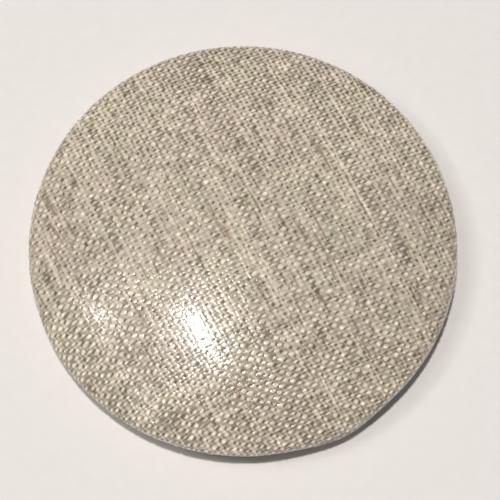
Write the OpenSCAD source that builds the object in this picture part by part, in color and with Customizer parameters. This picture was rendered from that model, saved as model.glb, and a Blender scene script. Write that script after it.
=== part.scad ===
// Cloth-covered sew-on button with a folding wire loop on its back.
// The face looks up (+Z), the turned-under hem rests on z = 0 and the button's axis is the Z axis.
// The loop swings about an axis along X and lies folded towards -Y.

/* [Button] */
// Outer diameter of the finished button, cloth included
button_d = 38; // [36:0.5:46]
// Slope of the dome where it runs into the rounded rim, in degrees
dome_slope = 22; // [20:0.5:26]
// Outer radius of the rounded rim
rim_r = 1.0; // [0.8:0.1:1.3]
// Height of the side wall between the centres of the rim and of the fold
wall_h = 2.2; // [1.5:0.1:3]
// How far the side wall leans inwards towards its foot, in degrees
wall_lean = 14; // [8:1:18]
// Outer radius of the fold where the side wall turns under
fold_r = 0.8; // [0.75:0.05:1]

/* [Sheet thicknesses] */
// Thickness of the linen cloth
cloth_t = 0.35; // [0.25:0.05:0.4]
// Thickness of the pressed front shell
shell_t = 0.35; // [0.25:0.05:0.4]
// Thickness of the pressed back plate
plate_t = 0.4; // [0.3:0.05:0.45]
// Thickness of the card filler disc
filler_t = 0.55; // [0.3:0.05:0.6]

/* [Wire loop] */
// Diameter of the loop's wire
wire_d = 1.2; // [0.9:0.1:1.3]
// Width of the loop, from wire centre to wire centre
loop_w = 7.6; // [7:0.2:8.2]
// Reach of the loop, from the hinge axis to the centre of the wire at its tip
loop_l = 6.8; // [6.2:0.1:7]

/* [Hidden] */

// Smoothness of round shapes: faces of a full turn, and straight steps in the arcs of an outline
facets = 128;
wire_facets = 48;
bend_facets = 96;
dome_steps = 20;
rim_steps = 6;
corner_steps = 5;

// How far past its end an outline's arc starts, so that no two of its points meet, in degrees
arc_skip = 10;

// Outer envelope: a shallow dome that runs tangent into the rim, the wall and the fold
button_r = button_d / 2;
rim_z = fold_r + wall_h;
dome_r = (button_r - rim_r) / sin(dome_slope) + rim_r;
dome_z = rim_z - (dome_r - rim_r) * cos(dome_slope);
fold_x = button_r - rim_r + (rim_r - fold_r - wall_h * sin(wall_lean)) / cos(wall_lean);

// Front shell: its bottom edge turns in to a lip that is cut into teeth
lip_r = button_r - 2.4;
lip_top = cloth_t + shell_t;
tooth_count = 24;
tooth_slot_w = 1.5;
tooth_slot_l = 0.8;
tooth_slot_start = lip_r - 1;
tooth_slot_h = lip_top + 0.3;

// Snap fit of the back plate: its flange flares out above the lip, with the hem between them
hem_gap = 0.05;
snap = 0.3;
lip_clear = 0.15;
flare_h = 0.6;
flare_start_z = lip_top + lip_clear;
flare_end_z = flare_start_z + flare_h;
flange_r = lip_r - cloth_t - hem_gap;
flange_top = 2.55;
hem_top = 2.4;

// Back plate: a ring-shaped land, a stiffening bead and a dish that the loop folds into
land_z = 0.5;
dish_z = 1.8;
dish_r = 8.2;
dish_corner = 0.35;
dish_wall_run = 0.35;
dish_wall_slope = 75;
bead_r = (dish_r + flange_r) / 2;
bead_w = 0.9;
bead_h = 0.3;
flange_corner = 0.45;

// Filler disc: laid on the flange under the dome
filler_lift = 0.02;
filler_gap = 0.5;
filler_z = flange_top + filler_lift;
filler_r = lip_r - filler_gap;

// Loop and saddle
wire_r = wire_d / 2;
running_gap = 0.05;
hinge_z = dish_z - wire_r - running_gap;
tip_gap = 0.03;
loop_droop = asin((hinge_z - wire_r - tip_gap) / loop_l);
corner_r = 1;
loop_side = loop_w / 2;
wire_end_gap = 0.2;
saddle_t = 0.3;
saddle_w = 3.6;
saddle_r = wire_r + running_gap;
tab_l = 1.6;
tab_z = dish_z + plate_t;
leg_gap = 0.03;

// Points of an arc in the half plane [radius, height]; angles run from straight up (0) outwards (90)
function arc(centre, r, from, to, steps) =
    [for (i = [0 : steps]) let (a = from + (to - from) * i / steps)
        centre + r * [sin(a), cos(a)]];

function reversed(points) = [for (i = [len(points) - 1 : -1 : 0]) points[i]];

// Dome, rim, wall and fold, moved inwards by inset
function skin(inset) = concat(
    arc([0, dome_z], dome_r - inset, 0, dome_slope, dome_steps),
    arc([button_r - rim_r, rim_z], rim_r - inset, dome_slope + arc_skip, 90 + wall_lean, rim_steps),
    arc([fold_x, fold_r], fold_r - inset, 90 + wall_lean, 180, rim_steps));

module turned(points) {
    rotate_extrude($fn = facets) polygon(points);
}

// Linen disc: pulled over the shell, folded under it and tucked up behind the lip
module fabric_cover() {
    outer_hem = concat(
        arc([lip_r, cloth_t], cloth_t, 180, 270, corner_steps),
        [[lip_r - cloth_t, flare_start_z],
         [lip_r - cloth_t + snap, flare_end_z],
         [lip_r - cloth_t + snap, hem_top]]);
    inner_hem = [[lip_r, cloth_t],
                 [lip_r, flare_start_z],
                 [lip_r + snap, flare_end_z],
                 [lip_r + snap, hem_top]];
    color([0.74, 0.69, 0.6])
    turned(concat(skin(0), outer_hem, reversed(inner_hem), reversed(skin(cloth_t))));
}

// Pressed tin shell that gives the button its shape
module front_shell() {
    outer = concat(skin(cloth_t), [[lip_r, cloth_t]]);
    inner = concat(skin(lip_top), [[lip_r, lip_top]]);
    color("silver")
    difference() {
        turned(concat(outer, reversed(inner)));
        for (i = [0 : tooth_count - 1])
            rotate(i * 360 / tooth_count)
            translate([tooth_slot_start, -tooth_slot_w / 2, 0])
            cube([lip_r + tooth_slot_l - tooth_slot_start, tooth_slot_w, tooth_slot_h]);
    }
}

// Pressed card that stiffens the button and keeps the saddle's tabs off the shell
module filler_disc() {
    color("burlywood")
    translate([0, 0, filler_z])
    cylinder(h = filler_t, r = filler_r, $fn = facets);
}

// Outline of the plate, seen from below if lift is 0, or its inner face if lift is plate_t
function plate_line(lift) = concat(
    [[0, dish_z + lift]],
    arc([dish_r - dish_corner, dish_z - dish_corner], dish_corner + lift, 0, dish_wall_slope, corner_steps),
    arc([dish_r + dish_corner + dish_wall_run, land_z + dish_corner], dish_corner - lift,
        180 + dish_wall_slope, 180, corner_steps),
    [[bead_r - bead_w / 2, land_z + lift],
     [bead_r - bead_w / 4, land_z + bead_h + lift],
     [bead_r + bead_w / 4, land_z + bead_h + lift],
     [bead_r + bead_w / 2, land_z + lift]],
    arc([flange_r - flange_corner, land_z + flange_corner], flange_corner - lift, 180, 90, corner_steps),
    [[flange_r - lift, flare_start_z],
     [flange_r - lift + snap, flare_end_z],
     [flange_r - lift + snap, flange_top]]);

// Pressed back plate with two slots for the saddle's legs
module back_plate() {
    leg_y = saddle_r + saddle_t / 2;
    color("lightgray")
    difference() {
        turned(concat(plate_line(0), reversed(plate_line(plate_t))));
        for (side = [-1, 1])
            translate([0, side * leg_y, dish_z + plate_t / 2])
            cube([saddle_w + 2 * leg_gap, saddle_t + 2 * leg_gap, 2 * plate_t], center = true);
    }
}

// Strap over the loop's bar, with legs through the plate and tabs bent outwards behind it
module loop_saddle() {
    outer_r = saddle_r + saddle_t;
    color("lightgray")
    translate([-saddle_w / 2, 0, 0])
    rotate([90, 0, 90])
    linear_extrude(saddle_w)
    difference() {
        union() {
            translate([0, hinge_z]) circle(r = outer_r, $fn = facets);
            translate([-outer_r, hinge_z]) square([2 * outer_r, tab_z + saddle_t - hinge_z]);
            translate([-outer_r - tab_l, tab_z]) square([2 * (outer_r + tab_l), saddle_t]);
        }
        translate([0, hinge_z]) circle(r = saddle_r, $fn = facets);
        translate([-saddle_r, hinge_z]) square([2 * saddle_r, tab_z + 2 * saddle_t - hinge_z]);
    }
}

module wire(length) {
    cylinder(h = length, r = wire_r, $fn = wire_facets);
}

module bend(r, from, angle) {
    rotate(from)
    rotate_extrude(angle = angle, $fn = bend_facets)
    translate([r, 0])
    circle(r = wire_r, $fn = wire_facets);
}

// Half of the loop in the XY plane, from the middle of its bar to the middle of its tip
module half_loop() {
    bar = loop_side - corner_r - wire_end_gap / 2;
    side_l = loop_l - loop_side - corner_r;
    translate([wire_end_gap / 2, 0, 0]) rotate([0, 90, 0]) wire(bar);
    translate([loop_side - corner_r, -corner_r, 0]) bend(corner_r, 0, 90);
    translate([loop_side, -corner_r, 0]) rotate([90, 0, 0]) wire(side_l);
    translate([0, loop_side - loop_l, 0]) bend(loop_side, -90, 90);
}

// D-shaped loop for the thread, bent from one wire whose ends meet under the saddle
module wire_loop() {
    color("gainsboro")
    translate([0, 0, hinge_z])
    rotate([loop_droop, 0, 0]) {
        half_loop();
        mirror([1, 0, 0]) half_loop();
    }
}

fabric_cover();
front_shell();
filler_disc();
back_plate();
loop_saddle();
wire_loop();
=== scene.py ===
"""A linen-covered button face up on white paper, seen from above by a camera that leans towards -Y."""

import math

import bpy
import numpy as np
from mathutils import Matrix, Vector


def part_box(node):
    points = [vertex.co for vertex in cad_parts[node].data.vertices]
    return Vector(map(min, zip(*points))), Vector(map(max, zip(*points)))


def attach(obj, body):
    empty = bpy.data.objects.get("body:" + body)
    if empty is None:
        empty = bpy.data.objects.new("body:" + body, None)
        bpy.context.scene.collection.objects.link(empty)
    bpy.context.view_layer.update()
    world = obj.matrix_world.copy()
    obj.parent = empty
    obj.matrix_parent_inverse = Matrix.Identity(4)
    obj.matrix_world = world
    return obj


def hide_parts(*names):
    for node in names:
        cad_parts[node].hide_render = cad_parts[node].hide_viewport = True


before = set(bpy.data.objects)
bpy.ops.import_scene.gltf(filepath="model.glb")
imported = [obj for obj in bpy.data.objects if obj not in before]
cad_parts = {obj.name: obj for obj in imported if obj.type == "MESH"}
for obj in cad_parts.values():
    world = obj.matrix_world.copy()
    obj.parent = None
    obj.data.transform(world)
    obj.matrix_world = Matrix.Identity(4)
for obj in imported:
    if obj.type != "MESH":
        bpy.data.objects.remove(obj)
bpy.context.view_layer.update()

MM = 0.001
SEED = 38

# Outer skin of the button, as in the CAD model
BUTTON_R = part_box("fabric_cover")[1].x
DOME_SLOPE = math.radians(22)
RIM_R = 1.0 * MM
WALL_H = 2.2 * MM
WALL_LEAN = math.radians(14)
FOLD_R = 0.8 * MM
CLOTH_T = 0.35 * MM
LIP_R = BUTTON_R - 2.4 * MM

# How high the hem reaches behind the lip
HEM_TOP = 1.5 * MM

# Points along the stretches of the outline, and the distance within which two of them are the same
DOME_STEPS, BEND_STEPS, STRAIGHT_STEPS = 200, 60, 30
SAME_POINT = 1e-9

# Skin that is lower than this is the flat of the underside
FLAT_HEIGHT = 0.001 * MM

# The linen: distance between threads, the direction that each set runs in, in degrees from +X, and grid
# points per thread
PITCH_A = 0.468 * MM
PITCH_B = 0.365 * MM
ANGLE_A = 116.6
ANGLE_B = 24.8
SAMPLES_A = 8
SAMPLES_B = 6

# Uneven pull, in threads at the rim: how far the lines of each set bow, and those of set B lean and fan out.
# Beyond PULL_REACH, in radii of the button, the pull grows no further.
BOW_A = 0.9
BOW_B = 0.7
LEAN_B = 2.2
FAN_B_ACROSS, FAN_B_ALONG = 4.4, 2.2
PULL_REACH = 1.1

# Rounds that flat_places takes to find where threads cross
SETTLING_ROUNDS = 8

# How the threads vary. width: half a thread's width, in pitches. uneven: slow change of width. tone:
# lightness. own, drift, band, grain: change of tone from thread to thread, slowly along it, in groups of
# threads, and quickly along it. lift: change of height. slub: how much darker a thread's slubs are, which
# are the places where the noise passes slub_level.
LOOK_A = dict(width=0.43, uneven=0.09, tone=-0.10, own=0.06, drift=0.06, band=0.08, grain=0.08,
              lift=0.25, slub=0.42, slub_level=0.64)
LOOK_B = dict(width=0.43, uneven=0.05, tone=0.00, own=0.03, drift=0.03, band=0.02, grain=0.12,
              lift=0.20, slub=0.15, slub_level=0.80)

# Lengths, in threads, over which the yarns change
DRIFT_LENGTH, GRAIN_LENGTH, BAND_LENGTH, SLUB_LENGTH = 14, 1.6, 34, 9
SLOW_WANDER_LENGTH, QUICK_WANDER_LENGTH, LIFT_LENGTH = 9, 2.3, 1.3

# How much width and place change from thread to thread (OWN), and slowly or quickly along a thread
OWN_WIDTH, GRAIN_WIDTH = 0.05, 0.34
OWN_WANDER, SLOW_WANDER, QUICK_WANDER = 0.09, 0.14, 0.20

# Weight of the drift in a thread's height
DRIFT_LIFT = 0.25

# Threads in a group that is paler or darker together, and how strong pale groups are beside dark ones
BAND_THREADS = 3
PALE_BAND = 0.4

# Section of a thread, and how high it stands: the rise and fall of its path, and its own thickness
ROUND_POWER, SHOULDER_POWER = 2.5, 0.6
CRIMP_A, THICK_A = 0.025 * MM, 0.120 * MM
CRIMP_B, THICK_B = 0.060 * MM, 0.120 * MM

# Sideways sway of a thread at its crossings, in pitches
SWAY_A, SWAY_B = -0.11, -0.06

# Towards the front the B threads stand higher over the A threads
FRONT_FROM, FRONT_TO = 0.5 * MM, 12 * MM
FRONT_LOWER_A, FRONT_RAISE_B = 0.011 * MM, 0.006 * MM

# Heights of the pores' floor and of the pressed crowns, the softness of the crowns' edge, and how far crowns
# lean (rise per length, along p and q) and are domed
PORE = 0.040 * MM
CROWN = 0.165 * MM
PRESS_EDGE = 0.012 * MM
TILT_P, TILT_Q = 0.05, 0.08
DOMING = 0.7 / MM

# Difference in height over which one thread's colour gives way to the other's
LIE_EDGE = 0.02 * MM

# A thick gather on the wall: how far it stands out, where, and how far it reaches
LUMP = 0.45 * MM
LUMP_ANGLE = math.radians(-63)
LUMP_WIDTH = math.radians(10)
LUMP_BEFORE_FLAT = 2.4 * MM
LUMP_REACH = 1.1 * MM

# Pleats of the gathered cloth: their depth on the wall and what is added underneath, the share of a pleat
# that rises, their unevenness, and where they begin and where they grow, counted from where the underside
# turns flat
PLEATS = 46
PLEAT_DEPTH, PLEAT_MORE = 0.03 * MM, 0.19 * MM
PLEAT_RISE = 0.8
PLEAT_UNEVEN, PLEAT_WAVES, PLEAT_WAVE_STEP = 0.25, 4, 3
PLEATS_BEGIN = (-3.6 * MM, -1.6 * MM)
PLEATS_GROW = (-2.4 * MM, 0.3 * MM)

# Camera
CAMERA_DISTANCE = 190 * MM
CAMERA_TILT = math.radians(17.5)
CAMERA_LENS = 154.6
CAMERA_SENSOR = 36
CAMERA_CLIP = 0.01
AIM_HEIGHT = 3 * MM
AIM_RIGHT = 0.61 * MM
AIM_DOWN = 0.41 * MM


# ---------------------------------------------------------------- outline of the skin

def arc(centre, radius, start, end, steps=BEND_STEPS):
    """Points and outward normals of an arc; angles run from straight up (0) outwards (90 degrees)."""
    a = np.linspace(start, end, steps)
    normal = np.stack([np.sin(a), np.cos(a)], 1)
    return np.array(centre) + radius * normal, normal


def line(start, end, normal):
    """Points of a straight stretch, all with the same normal."""
    t = np.linspace(0, 1, STRAIGHT_STEPS)[:, None]
    return np.array(start) * (1 - t) + np.array(end) * t, np.tile(normal, (STRAIGHT_STEPS, 1))


def skin_line():
    """Distance along the cloth from the middle of the face, with the radius, height and normal there."""
    rim_z = FOLD_R + WALL_H
    dome_r = (BUTTON_R - RIM_R) / math.sin(DOME_SLOPE) + RIM_R
    dome_z = rim_z - (dome_r - RIM_R) * math.cos(DOME_SLOPE)
    quarter = math.pi / 2
    lean_x, lean_z = math.cos(WALL_LEAN), -math.sin(WALL_LEAN)
    rim_x = BUTTON_R - RIM_R
    fold_x = rim_x + (RIM_R - FOLD_R + WALL_H * lean_z) / lean_x
    hem_r = LIP_R - CLOTH_T
    stretches = [
        arc((0, dome_z), dome_r, 0, DOME_SLOPE, DOME_STEPS),
        arc((rim_x, rim_z), RIM_R, DOME_SLOPE, quarter + WALL_LEAN),
        line((rim_x + RIM_R * lean_x, rim_z + RIM_R * lean_z),
             (fold_x + FOLD_R * lean_x, FOLD_R + FOLD_R * lean_z), (lean_x, lean_z)),
        arc((fold_x, FOLD_R), FOLD_R, quarter + WALL_LEAN, 2 * quarter),
        line((fold_x, 0), (LIP_R, 0), (0, -1)),
        arc((LIP_R, CLOTH_T), CLOTH_T, 2 * quarter, 3 * quarter),
        line((hem_r, CLOTH_T), (hem_r, HEM_TOP), (-1, 0)),
    ]
    points = np.concatenate([p for p, _ in stretches])
    normals = np.concatenate([n for _, n in stretches])
    steps = np.linalg.norm(np.diff(points, axis=0), axis=1)
    keep = np.concatenate([[True], steps > SAME_POINT])
    points, normals = points[keep], normals[keep]
    along = np.concatenate([[0], np.cumsum(np.linalg.norm(np.diff(points, axis=0), axis=1))])
    return along, points[:, 0], points[:, 1], normals[:, 0], normals[:, 1]


SKIN = skin_line()

# Radius of the flat disc of cloth, and how far from its middle the underside of the button turns flat
CUT_R = SKIN[0][-1]
FLAT_START = SKIN[0][np.argmax(SKIN[2] < FLAT_HEIGHT)]


def on_skin(x, y, sink):
    """Where a point of the flat cloth lies, sink below the button's skin, and the skin's normal there."""
    s = np.hypot(x, y)
    cos, sin = x / np.maximum(s, SAME_POINT), y / np.maximum(s, SAME_POINT)
    r, z, nr, nz = (np.interp(s, SKIN[0], column) for column in SKIN[1:])
    normal = np.stack([nr * cos, nr * sin, nz], -1)
    return np.stack([r * cos, r * sin, z], -1) - sink[..., None] * normal, normal


# ---------------------------------------------------------------- random yarns

def smooth_noise(rng, rows, positions, scale):
    """For each row, values from -1 to 1 that change smoothly along positions, with a knot every scale."""
    t = (positions - positions[0]) / scale
    knot = np.floor(t).astype(int)
    f = t - knot
    f = f * f * (3 - 2 * f)
    values = rng.uniform(-1, 1, (rows, knot[-1] + 2))
    return values[:, knot] * (1 - f) + values[:, knot + 1] * f


def step(low, high, x):
    """Goes smoothly from 0 to 1 as x goes from low to high."""
    t = np.clip((x - low) / (high - low), 0, 1)
    return t * t * (3 - 2 * t)


class Yarns:
    """One set of threads. across and along are the grid's positions, counted in threads."""

    def __init__(self, rng, across, along, look):
        self.index = np.round(across).astype(int) - int(round(across[0]))
        rows = self.index[-1] + 2
        own = rng.normal(0, 1, (rows, 1)).clip(-2, 2)
        drift = smooth_noise(rng, rows, along, DRIFT_LENGTH)
        grain = smooth_noise(rng, rows, along, GRAIN_LENGTH)
        # neighbouring threads come from the same stretch of yarn, so they are paler or darker together
        groups = rows // BAND_THREADS + 2
        group = (np.arange(rows) + 1) // BAND_THREADS
        band = smooth_noise(rng, groups, along, BAND_LENGTH)[group]
        band = np.minimum(band, PALE_BAND * band)
        slub = step(look["slub_level"], 1.0, smooth_noise(rng, rows, along, SLUB_LENGTH))
        self.width = look["width"] * (1 + OWN_WIDTH * own + look["uneven"] * drift + GRAIN_WIDTH * grain)
        self.tone = (look["tone"] + look["own"] * own + look["drift"] * drift + look["band"] * band
                     + look["grain"] * grain - look["slub"] * slub)
        slow = smooth_noise(rng, rows, along, SLOW_WANDER_LENGTH)
        quick = smooth_noise(rng, rows, along, QUICK_WANDER_LENGTH)
        self.wander = OWN_WANDER * own + SLOW_WANDER * slow + QUICK_WANDER * quick
        self.lift = look["lift"] * (smooth_noise(rng, rows, along, LIFT_LENGTH) + DRIFT_LIFT * drift)

    def wander_at(self, across):
        """How far the cloth is moved sideways at each grid point, between the yarns beside it."""
        k = across - math.floor(across[0])
        low = np.floor(k).astype(int).clip(0, len(self.wander) - 2)
        f = (k - low)[:, None]
        return self.wander[low] * (1 - f) + self.wander[low + 1] * f


def half_round(t):
    """Height across a yarn, from 1 in its middle to 0 at its edges."""
    return np.clip(1 - np.abs(t) ** ROUND_POWER, 0, 1) ** SHOULDER_POWER


def pressed(height, limit):
    """Crowns that stand above the limit are pressed flat to it, with a soft edge."""
    return -PRESS_EDGE * np.logaddexp(-height / PRESS_EDGE, -limit / PRESS_EDGE)


# ---------------------------------------------------------------- the linen cover

def thread_count(x, y):
    """Which A thread and which B thread cross at a point of the flat cloth, counted from the middle."""
    a, b = math.radians(ANGLE_A - 90), math.radians(ANGLE_B + 90)
    p = (x * math.cos(a) + y * math.sin(a)) / PITCH_A
    q = (x * math.cos(b) + y * math.sin(b)) / PITCH_B
    u, v = x / BUTTON_R, y / BUTTON_R
    inside = PULL_REACH / np.maximum(np.hypot(u, v), PULL_REACH)
    u, v = u * inside, v * inside
    p = p - BOW_A * v * v
    q = q + BOW_B * u * u + LEAN_B * u * v - FAN_B_ACROSS * u * u * v - FAN_B_ALONG * u * v * v
    return p, q


def flat_places(p, q):
    """Undoes thread_count: where on the flat cloth the given threads cross."""
    a, b = math.radians(ANGLE_A - 90), math.radians(ANGLE_B + 90)
    turn = np.array([[math.cos(a), math.sin(a)], [math.cos(b), math.sin(b)]])
    back = np.linalg.inv(turn / np.array([[PITCH_A], [PITCH_B]]))
    x, y = back[0, 0] * p + back[0, 1] * q, back[1, 0] * p + back[1, 1] * q
    for _ in range(SETTLING_ROUNDS):
        p_now, q_now = thread_count(x, y)
        dp, dq = p - p_now, q - q_now
        x, y = x + back[0, 0] * dp + back[0, 1] * dq, y + back[1, 0] * dp + back[1, 1] * dq
    return x, y


def pleats(s, angle, rng):
    """How far the gathered cloth sinks below its outermost layer, on the lower wall and underneath."""
    phase = angle * PLEATS / math.tau
    for k in range(1, PLEAT_WAVES + 1):
        wave = np.sin(k * PLEAT_WAVE_STEP * angle + rng.uniform(0, math.tau))
        phase = phase + PLEAT_UNEVEN * wave / k
    ramp = phase - np.floor(phase)
    fold = np.where(ramp < PLEAT_RISE, ramp / PLEAT_RISE, (1 - ramp) / (1 - PLEAT_RISE))
    fold = fold * fold * (3 - 2 * fold)
    begun = step(FLAT_START + PLEATS_BEGIN[0], FLAT_START + PLEATS_BEGIN[1], s)
    grown = step(FLAT_START + PLEATS_GROW[0], FLAT_START + PLEATS_GROW[1], s)
    return fold * (PLEAT_DEPTH + PLEAT_MORE * grown) * begun


def lump(s, angle):
    """How far a thick gather stands out on the wall, at one place near the front."""
    off = (angle - LUMP_ANGLE) / LUMP_WIDTH
    down = (s - (FLAT_START - LUMP_BEFORE_FLAT)) / LUMP_REACH
    return LUMP * np.exp(-off * off) * np.exp(-down * down)


def grid_positions(pitch, samples):
    """Positions of the grid's lines, in threads. None lies exactly between two threads."""
    reach = (math.ceil(CUT_R / pitch) + 2) * samples
    return np.arange(-reach, reach + 1) / samples + 0.5 / samples


def weave(rng):
    """The woven sheet as a grid of points, with each point's height, tone and which thread is on top."""
    p = grid_positions(PITCH_A, SAMPLES_A)
    q = grid_positions(PITCH_B, SAMPLES_B)
    set_a = Yarns(rng, p, q, LOOK_A)
    set_b = Yarns(rng, q, p, LOOK_B)
    i, j = np.round(p)[:, None], np.round(q)[None, :]
    pg, qg = p[:, None], q[None, :]
    width_a, lift_a, tone_a = (values[set_a.index] for values in (set_a.width, set_a.lift, set_a.tone))
    width_b, lift_b, tone_b = (values[set_b.index].T for values in (set_b.width, set_b.lift, set_b.tone))
    rise_a = np.cos(math.pi * (qg + i))
    rise_b = -np.cos(math.pi * (pg + j))
    # the twist makes each thread sway as it passes over and under, so that every other pore is wide
    body_a = half_round((pg - i - SWAY_A * np.sin(math.pi * (qg + i))) / width_a)
    body_b = half_round((qg - j - SWAY_B * np.sin(math.pi * (pg + j))) / width_b)
    x, y = flat_places(pg + set_a.wander_at(p), qg + set_b.wander_at(q).T)
    front = step(FRONT_FROM, FRONT_TO, -y)
    high_a = CRIMP_A * rise_a + THICK_A * body_a * (1 + lift_a) - FRONT_LOWER_A * front
    high_b = CRIMP_B * rise_b + THICK_B * body_b * (1 + lift_b) + FRONT_RAISE_B * front
    high_a = np.where(body_a > 0, high_a, PORE)
    high_b = np.where(body_b > 0, high_b, PORE)
    height = np.maximum(np.maximum(high_a, high_b), PORE)
    # each crown is slightly domed and leans its own way a little
    crossings = (set_a.index[-1] + 1, set_b.index[-1] + 1)
    at = set_a.index[:, None], set_b.index[None, :]
    lean_p = rng.normal(0, TILT_P, crossings)[at] * (pg - i) * PITCH_A
    lean_q = rng.normal(0, TILT_Q, crossings)[at] * (qg - j) * PITCH_B
    dome = DOMING * ((pg - i)**2 * PITCH_A**2 + (qg - j)**2 * PITCH_B**2)
    height = pressed(height, CROWN + lean_p + lean_q - dome)
    lie = step(-LIE_EDGE, LIE_EDGE, high_b - high_a)
    tone = tone_a * (1 - lie) + tone_b * lie
    return x, y, height, tone, lie


def grid_faces(inside):
    """Quads between neighbouring grid points that are all inside, and which points they use."""
    rows, columns = inside.shape
    number = np.arange(rows * columns).reshape(rows, columns)
    whole = inside[:-1, :-1] & inside[1:, :-1] & inside[1:, 1:] & inside[:-1, 1:]
    corners = [number[:-1, :-1], number[1:, :-1], number[1:, 1:], number[:-1, 1:]]
    quads = np.stack([c[whole] for c in corners], 1)
    used = np.unique(quads)
    renumber = np.full(rows * columns, -1)
    renumber[used] = np.arange(len(used))
    return renumber[quads], used


def mesh_from(name, points, quads):
    mesh = bpy.data.meshes.new(name)
    mesh.vertices.add(len(points))
    mesh.vertices.foreach_set("co", points.astype(np.float32).ravel())
    mesh.loops.add(quads.size)
    mesh.loops.foreach_set("vertex_index", quads.astype(np.int32).ravel())
    mesh.polygons.add(len(quads))
    mesh.polygons.foreach_set("loop_start", np.arange(0, quads.size, 4, dtype=np.int32))
    mesh.update(calc_edges=True)
    mesh.validate()
    mesh.shade_smooth()
    return mesh


def keep_values(mesh, **columns):
    """Stores a number or a vector for each point of the mesh, for its material to read."""
    for name, values in columns.items():
        kind, field = ("FLOAT", "value") if values.ndim == 1 else ("FLOAT_VECTOR", "vector")
        layer = mesh.attributes.new(name, kind, "POINT")
        layer.data.foreach_set(field, values.astype(np.float32).ravel())


def linen_cover():
    rng = np.random.default_rng(SEED)
    x, y, height, tone, lie = weave(rng)
    s = np.hypot(x, y)
    angle = np.arctan2(y, x)
    gather = pleats(s, angle, rng) - lump(s, angle)
    points, skin = on_skin(x, y, CROWN - height + gather)
    quads, used = grid_faces(s < CUT_R)
    mesh = mesh_from("linen_cover", points.reshape(-1, 3)[used], quads)
    keep_values(mesh, tone=tone.ravel()[used], lie=lie.ravel()[used],
                rise=((height - PORE) / (CROWN - PORE)).ravel()[used], skin=skin.reshape(-1, 3)[used])
    cover = bpy.data.objects.new("linen_cover", mesh)
    bpy.context.scene.collection.objects.link(cover)
    return cover


# ---------------------------------------------------------------- material nodes

class Nodes:
    """Short way to build a node material. An output socket given in place of a value makes a link."""

    def __init__(self, name):
        self.material = bpy.data.materials.new(name)
        self.material.use_nodes = True
        self.tree = self.material.node_tree
        self.shader = self.tree.nodes["Principled BSDF"]

    def add(self, kind, _out=0, _set=None, **inputs):
        """A new node's output. An input is named by its socket, or by i and its number."""
        node = self.tree.nodes.new("ShaderNode" + kind)
        for key, value in (_set or {}).items():
            setattr(node, key, value)
        for key, value in inputs.items():
            self.put(node, key, value)
        return node.outputs[_out]

    def put(self, node, key, value):
        numbered = key[0] == "i" and key[1:].isdigit()
        socket = node.inputs[int(key[1:])] if numbered else node.inputs[key]
        if isinstance(value, bpy.types.NodeSocket):
            self.tree.links.new(value, socket)
        else:
            socket.default_value = value

    def shade(self, **inputs):
        for key, value in inputs.items():
            self.put(self.shader, key.replace("_", " "), value)
        return self.material

    def value(self, name):
        """A number kept on the mesh."""
        return self.add("Attribute", 2, {"attribute_name": name})

    def math(self, operation, a, b=0.0, c=0.0):
        return self.add("Math", 0, {"operation": operation}, i0=a, i1=b, i2=c)

    def vector(self, operation, a, b=(0, 0, 0), c=(0, 0, 0)):
        return self.add("VectorMath", 0, {"operation": operation}, i0=a, i1=b, i2=c)

    def grey(self, kind, value):
        """The same value three times, as a colour (CombineColor) or a vector (CombineXYZ)."""
        return self.add(kind, 0, None, i0=value, i1=value, i2=value)

    def spread(self, value, low, high, at_low=0.0, at_high=1.0):
        """Goes from at_low to at_high as the value goes from low to high."""
        return self.add("MapRange", 0, None, i0=value, i1=low, i2=high, i3=at_low, i4=at_high)

    def mix(self, factor, a, b, blend="MIX"):
        return self.add("Mix", 2, {"data_type": "RGBA", "blend_type": blend}, i0=factor, i6=a, i7=b)

    def noise(self, place, scale=1.0, detail=2.0):
        return self.add("TexNoise", 0, None, Vector=place, Scale=scale, Detail=detail)

    def place(self, turn=0.0, scale=(1, 1, 1)):
        """Object coordinates along an X axis that is turned about Z by degrees, and then scaled."""
        here = self.add("TexCoord", 3)
        rotation = {"rotation_type": "Z_AXIS"}
        turned = self.add("VectorRotate", 0, rotation, Vector=here, Angle=math.radians(-turn))
        return self.add("VectorMath", 0, {"operation": "MULTIPLY"}, i0=turned, i1=scale)

    def bump(self, height, strength, distance, **normal):
        return self.add("Bump", 0, None, Strength=strength, Distance=distance, Height=height, **normal)


# ---------------------------------------------------------------- linen material

# Colours: three shades of yarn, darker flax, bark and the shade in the pores
STRAW, GREEN_STRAW, ROSE_STRAW = (0.735, 0.65, 0.53, 1), (0.705, 0.655, 0.51, 1), (0.76, 0.655, 0.55, 1)
DARK_FLAX = (0.30, 0.23, 0.14, 1)
BARK = (0.33, 0.22, 0.11, 1)
PORE_SHADE = (0.16, 0.14, 0.095, 1)

# Scales of noise per metre: along the direction that it is turned to, across it in the plane of the button
# and along Z, or the same all ways
FIBRE_SCALE = (1500, 12000, 12000)
BROAD_STREAK_SCALE = (110, 1300, 1300)
THIN_STREAK_SCALE = (300, 3200, 3200)
BARK_SCALE = (700, 2600, 2600)
WAVE_SCALE = (9000, 3000, 9000)
PATCH_SCALE, TINT_SCALE, FLUFF_SCALE, GLINT_SCALE = 160.0, 420.0, 1500.0, 2300.0
TINT_TURN, FLUFF_TURN = 40, 70

# Two values from 0 to 1 carry painted light and shade across the face: one is 1 in a band across the middle
# and falls to 0 towards the back and the front, and back is 1 at the back. Each is given as two distances
# from the middle, the band's either way and back's forward, and the value at each. FORWARD is a direction in
# degrees from +X.
FORWARD = -98
MID_BAND = (4 * MM, 15 * MM, 1.0, 0.0)
BACK = (-13 * MM, -1 * MM, 1.0, 0.0)

# Where noise counts: from and to
NOISE_RANGE = (0.3, 0.7)
TINT_RANGE = (0.35, 0.65)
PATCH_RANGE = (0.35, 0.7)
FLUFF_RANGE = (0.42, 0.72)
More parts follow.
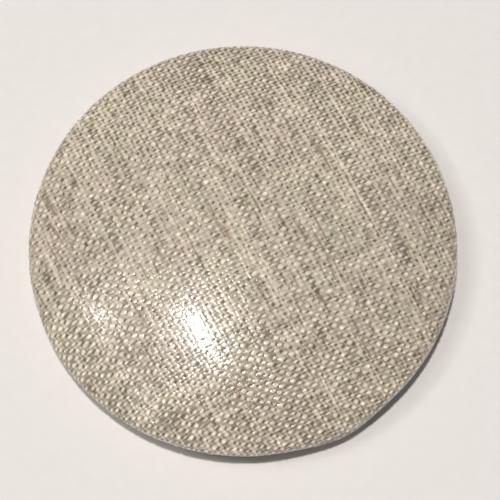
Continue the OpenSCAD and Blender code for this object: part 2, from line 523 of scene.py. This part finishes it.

# Shares of the height between a pore's floor and a crown. The pores' shade fades out from the first to the
# second, each given away from the middle band and in it. Painted glints on the crowns' tips begin and are
# whole at the third.
PORE_FROM, PORE_TO = (0.20, 0.07), (0.80, 0.63)
GLINT_TIP_RANGE = (0.80, 0.96)

# How much of a pore fluff closes, away from the middle band and in it, and how much of that is left at the
# back
CLOSED = (0.42, 0.80)
CLOSED_AT_BACK = 0.5

# What lightens or darkens the cloth: a value's low and high end, and what it adds at each. The streaks are
# stretches of darker flax along the A threads, and patches are larger areas.
FIBRE_LIGHT = (0.3, 0.7, -0.10, 0.10)
# painted shade and light: darker in the band across the middle and a little lighter away from it, and
# lighter at the back
MID_BAND_PAINTED_SHADE = (0.0, 1.0, 0.04, -0.10)
BACK_PAINTED_LIGHT = (0.0, 1.0, 0.0, 0.07)
BROAD_STREAK_LIGHT = (0.50, 0.72, 0.01, -0.09)
THIN_STREAK_LIGHT = (0.62, 0.76, 0.01, -0.16)
PATCH_LIGHT = (0.35, 0.7, 0.03, -0.07)
# painted glints: a bright tip on some crowns, weaker at the back
PAINTED_GLINT_LIGHT = (0.30, 0.72, 0.00, 0.66)
GLINT_AT_BACK = 0.45

# Share of brown from the darkest flax and from flecks of bark, in the same form
DARK_FLAX_SHARE = (0.66, 0.80, 0.0, 0.55)
BARK_SHARE = (0.76, 0.82, 0.0, 0.7)

# The linen's gloss has two layers. The finish on top, a coat, follows the button's smooth skin, and each
# thread only a little: more on the crowns than in the pores, and most across the B threads. The body
# beneath follows the threads by BODY_FOLLOW, which makes single glints, and is rougher between its fibres.
GLOSS_CROWN, GLOSS_PORE, GLOSS_ACROSS, GLOSS_WAVE = 0.12, 0.02, 0.03, 0.06
GLOSS_TURN = 122
GLOSS_RANGE = (0.45, 0.85)
COAT_IN_PORES = 0.8
BODY_FOLLOW = 0.32
BODY_ROUGHNESS = (0.3, 0.7, 0.19, 0.13)
FIBRE_RELIEF, FIBRE_HEIGHT = 0.5, 0.004 * MM


def pressed_gloss(n, rise):
    """Weight and normal of the coat on the linen, and the normal of the body beneath it."""
    to_world = {"vector_type": "NORMAL", "convert_from": "OBJECT", "convert_to": "WORLD"}
    skin = n.add("VectorTransform", 0, to_world, i0=n.add("Attribute", 1, {"attribute_name": "skin"}))
    tilt = n.vector("SUBTRACT", n.add("NewGeometry", 1), skin)
    turn = math.radians(GLOSS_TURN)
    across = (math.cos(turn), math.sin(turn), 0)
    tilt_across = n.add("VectorMath", 1, {"operation": "DOT_PRODUCT"}, i0=tilt, i1=across)
    crown = n.spread(rise, *GLOSS_RANGE)
    follow = n.spread(crown, 0.0, 1.0, GLOSS_PORE, GLOSS_CROWN)
    wave = n.noise(n.place(GLOSS_TURN, WAVE_SCALE), detail=1.0)
    more = n.math("MULTIPLY_ADD", n.math("MULTIPLY", tilt_across, crown), GLOSS_ACROSS,
                  n.spread(wave, *NOISE_RANGE, -GLOSS_WAVE, GLOSS_WAVE))
    coat = n.vector("MULTIPLY_ADD", tilt, n.grey("CombineXYZ", follow), skin)
    coat = n.vector("MULTIPLY_ADD", n.grey("CombineXYZ", more), across, coat)
    body = n.vector("MULTIPLY_ADD", tilt, (BODY_FOLLOW, BODY_FOLLOW, BODY_FOLLOW), skin)
    weight = n.spread(crown, 0.0, 1.0, COAT_IN_PORES, 1.0)
    return weight, n.vector("NORMALIZE", coat), n.vector("NORMALIZE", body)


def thread_fibre(n, lie):
    """Fibres run along each thread: the same noise drawn out along A and along B."""
    fibre_a = n.noise(n.place(ANGLE_A, FIBRE_SCALE), detail=3.0)
    fibre_b = n.noise(n.place(ANGLE_B, FIBRE_SCALE), detail=3.0)
    return n.add("Mix", 0, {"data_type": "FLOAT"}, i0=lie, i2=fibre_a, i3=fibre_b)


def pore_depth(n, rise, mid_band, back):
    """0 in the shade of the pores and 1 on the threads. Fluff closes some pores in part."""
    fluff = n.spread(n.noise(n.place(FLUFF_TURN), FLUFF_SCALE, 0.0), *FLUFF_RANGE)
    # in the middle band more of each pore is closed and its painted shade reaches less far
    closed = n.math("MULTIPLY", fluff, n.spread(mid_band, 0.0, 1.0, *CLOSED))
    closed = n.math("MULTIPLY", closed, n.spread(back, 0.0, 1.0, 1.0, CLOSED_AT_BACK))
    low, high = (n.spread(mid_band, 0.0, 1.0, *ends) for ends in (PORE_FROM, PORE_TO))
    return n.math("MAXIMUM", n.spread(rise, low, high), closed)


def painted_crown_glints(n, rise, back):
    """Painted glints on the crowns: some have a bright painted tip and others none."""
    glint_noise = n.noise(n.place(), GLINT_SCALE, 0.0)
    glint_tip = n.math("MULTIPLY", n.spread(rise, *GLINT_TIP_RANGE), n.spread(glint_noise, *PAINTED_GLINT_LIGHT))
    return n.math("MULTIPLY", glint_tip, n.spread(back, 0.0, 1.0, 1.0, GLINT_AT_BACK))


def linen_material():
    n = Nodes("linen")
    tone, lie, rise = n.value("tone"), n.value("lie"), n.value("rise")
    fibre = thread_fibre(n, lie)
    patch = n.noise(n.place(), PATCH_SCALE)
    tint = n.noise(n.place(TINT_TURN), TINT_SCALE, 1.0)
    broad = n.noise(n.place(ANGLE_A, BROAD_STREAK_SCALE), detail=1.0)
    thin = n.noise(n.place(ANGLE_A, THIN_STREAK_SCALE), detail=0.0)
    bark = n.noise(n.place(ANGLE_A, BARK_SCALE), detail=0.0)
    forward = n.add("SeparateXYZ", 0, None, Vector=n.place(FORWARD))
    # two values that carry painted light and shade: a band across the middle, and the back
    mid_band = n.spread(n.math("ABSOLUTE", forward), *MID_BAND)
    back = n.spread(forward, *BACK)

    light = n.math("MULTIPLY_ADD", tone, 1.0, 1.0)
    # painted shade and light: a darker middle band and a lighter back; fibre, streaks and patches are the
    # yarn's own tone
    for cause, change in ((fibre, FIBRE_LIGHT), (mid_band, MID_BAND_PAINTED_SHADE)):
        light = n.math("ADD", light, n.spread(cause, *change))
    # painted glints on the crowns' tips
    light = n.math("ADD", light, painted_crown_glints(n, rise, back))
    for cause, change in ((back, BACK_PAINTED_LIGHT), (broad, BROAD_STREAK_LIGHT), (thin, THIN_STREAK_LIGHT),
                          (patch, PATCH_LIGHT)):
        light = n.math("ADD", light, n.spread(cause, *change))

    yarn = n.mix(n.spread(tint, *TINT_RANGE), STRAW, GREEN_STRAW)
    yarn = n.mix(n.spread(patch, *PATCH_RANGE), yarn, ROSE_STRAW)
    lit = n.mix(1.0, yarn, n.grey("CombineColor", light), "MULTIPLY")
    lit = n.mix(n.spread(thin, *DARK_FLAX_SHARE), lit, DARK_FLAX)
    lit = n.mix(n.spread(bark, *BARK_SHARE), lit, BARK)
    colour = n.mix(pore_depth(n, rise, mid_band, back), PORE_SHADE, lit)

    weight, coat, body = pressed_gloss(n, rise)
    relief = n.bump(fibre, FIBRE_RELIEF, FIBRE_HEIGHT, Normal=body)
    return n.shade(Base_Color=colour, Roughness=n.spread(fibre, *BODY_ROUGHNESS), Normal=relief,
                   Sheen_Weight=0.15, Sheen_Roughness=0.5, IOR=1.52,
                   Coat_Weight=weight, Coat_Roughness=0.108, Coat_IOR=1.5, Coat_Normal=coat)


# ---------------------------------------------------------------- other materials

STEEL, TIN, NICKEL = (0.62, 0.62, 0.63), (0.66, 0.66, 0.66), (0.70, 0.70, 0.71)
CARD_DARK, CARD_PALE = (0.36, 0.27, 0.17, 1), (0.50, 0.40, 0.28, 1)
PAPER_DARK, PAPER_PALE = (0.84, 0.825, 0.81, 1), (0.86, 0.845, 0.83, 1)

# Metal: scales of its brushing and blotches, how dark the blotches are, and how far the brushing makes it
# smoother or rougher
BRUSHING_SCALE = (900, 24000, 900)
BLOTCH_SCALE, BLOTCH_TONE = 450.0, 0.86
BLOTCH_RANGE = (0.35, 0.7)
SMOOTHER, ROUGHER = 0.06, 0.08
BRUSHING_RELIEF, BRUSHING_HEIGHT = 0.15, 0.01 * MM
PULP_HEIGHT = 0.05 * MM


def metal_material(name, colour, rough, turn):
    """Metal that is brushed along the direction turn, in degrees from +X, and has faint blotches."""
    n = Nodes(name)
    streak = n.noise(n.place(turn, BRUSHING_SCALE), detail=3.0)
    blot = n.noise(n.place(), BLOTCH_SCALE, 3.0)
    base = n.mix(n.spread(blot, *BLOTCH_RANGE), (*colour, 1), (*[c * BLOTCH_TONE for c in colour], 1))
    return n.shade(Base_Color=base, Metallic=1.0,
                   Roughness=n.spread(streak, *NOISE_RANGE, rough - SMOOTHER, rough + ROUGHER),
                   Normal=n.bump(streak, BRUSHING_RELIEF, BRUSHING_HEIGHT))


def pulp_material(name, dark, pale, scale, rough, relief):
    """Card or paper, mottled and slightly rough from its pulp."""
    n = Nodes(name)
    pulp = n.noise(n.place(), scale, 4.0)
    base = n.mix(n.spread(pulp, *NOISE_RANGE), dark, pale)
    return n.shade(Base_Color=base, Roughness=rough, Normal=n.bump(pulp, relief, PULP_HEIGHT))


def give(thing, material):
    thing.data.materials.clear()
    thing.data.materials.append(material)


# ---------------------------------------------------------------- stage

PAPER_SIZE = 1.2
WARM, PALE, ROOM = (1.0, 0.95, 0.91), (1.0, 0.97, 0.95), (0.97, 0.98, 1.0, 1)
ROOM_STRENGTH = 0.10

# Lamps: direction from the button, distance, radius, radiance, colour, and which surfaces each one lights.
# The key lamp makes the band of shadow, the row of three the long highlight, and the next two the weaker
# glints.
LAMPS = [
    ("key", (-0.045, -0.02, 1.0), 0.6, 0.018, 720, WARM, "matt"),
    ("shine_back", (-0.202, -0.072, 0.978), 0.6, 0.0065, 820, WARM, "gloss"),
    ("shine_middle", (-0.181, -0.102, 0.978), 0.6, 0.0065, 820, WARM, "gloss"),
    ("shine_front", (-0.160, -0.132, 0.978), 0.6, 0.0065, 820, WARM, "gloss"),
    ("second", (-0.555, -0.014, 0.831), 0.6, 0.012, 105, WARM, "both"),
    ("third", (-0.406, -0.315, 0.858), 0.6, 0.008, 125, WARM, "both"),
    ("soft", (-0.43, 0.06, 0.90), 0.8, 0.18, 4.0, PALE, "matt"),
]


def paper():
    bpy.ops.mesh.primitive_plane_add(size=PAPER_SIZE, location=(0, 0, 0))
    sheet = bpy.context.object
    sheet.name = "paper"
    give(sheet, pulp_material("paper", PAPER_DARK, PAPER_PALE, scale=900.0, rough=0.85, relief=0.1))


def lamp(name, direction, distance, radius, radiance, colour, lights_up):
    """A round lamp of the given radiance, aimed at the button. lights_up is matt, gloss or both."""
    light = bpy.data.lights.new(name, "AREA")
    light.shape = "DISK"
    light.size = 2 * radius
    light.energy = radiance * math.pi * math.pi * radius * radius
    light.color = colour
    thing = bpy.data.objects.new(name, light)
    towards = Vector(direction).normalized()
    thing.location = towards * distance
    thing.rotation_euler = towards.to_track_quat("Z", "Y").to_euler()
    thing.visible_diffuse = lights_up != "gloss"
    thing.visible_glossy = lights_up != "matt"
    bpy.context.scene.collection.objects.link(thing)


def room_light():
    world = bpy.data.worlds.new("room")
    bpy.context.scene.world = world
    world.use_nodes = True
    background = world.node_tree.nodes["Background"]
    background.inputs["Color"].default_value = ROOM
    background.inputs["Strength"].default_value = ROOM_STRENGTH


def camera():
    data = bpy.data.cameras.new("camera")
    data.lens = CAMERA_LENS
    data.sensor_width = CAMERA_SENSOR
    data.clip_start = CAMERA_CLIP
    thing = bpy.data.objects.new("camera", data)
    back = Vector((0, -math.sin(CAMERA_TILT), math.cos(CAMERA_TILT)))
    up = Vector((0, math.cos(CAMERA_TILT), math.sin(CAMERA_TILT)))
    middle = Vector((0, 0, AIM_HEIGHT))
    thing.location = middle + back * CAMERA_DISTANCE
    aim = middle + Vector((AIM_RIGHT, 0, 0)) - up * AIM_DOWN
    thing.rotation_euler = (thing.location - aim).to_track_quat("Z", "Y").to_euler()
    bpy.context.scene.collection.objects.link(thing)
    bpy.context.scene.camera = thing


# ---------------------------------------------------------------- build

# Metal pieces: node, name of the material, colour, roughness, and direction of the brushing in degrees
METALS = [
    ("front_shell", "tinplate", TIN, 0.35, 0),
    ("back_plate", "plate_steel", STEEL, 0.32, 20),
    ("loop_saddle", "saddle_steel", STEEL, 0.30, 90),
    ("wire_loop", "wire", NICKEL, 0.20, 0),
]

bpy.context.scene.view_settings.view_transform = "Standard"
camera()
for settings in LAMPS:
    lamp(*settings)
room_light()
paper()

cover = linen_cover()
give(cover, linen_material())
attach(cover, "button")
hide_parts("fabric_cover")

for node, *finish in METALS:
    give(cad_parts[node], metal_material(*finish))
card = pulp_material("card", CARD_DARK, CARD_PALE, scale=2500.0, rough=0.9, relief=0.4)
give(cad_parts["filler_disc"], card)
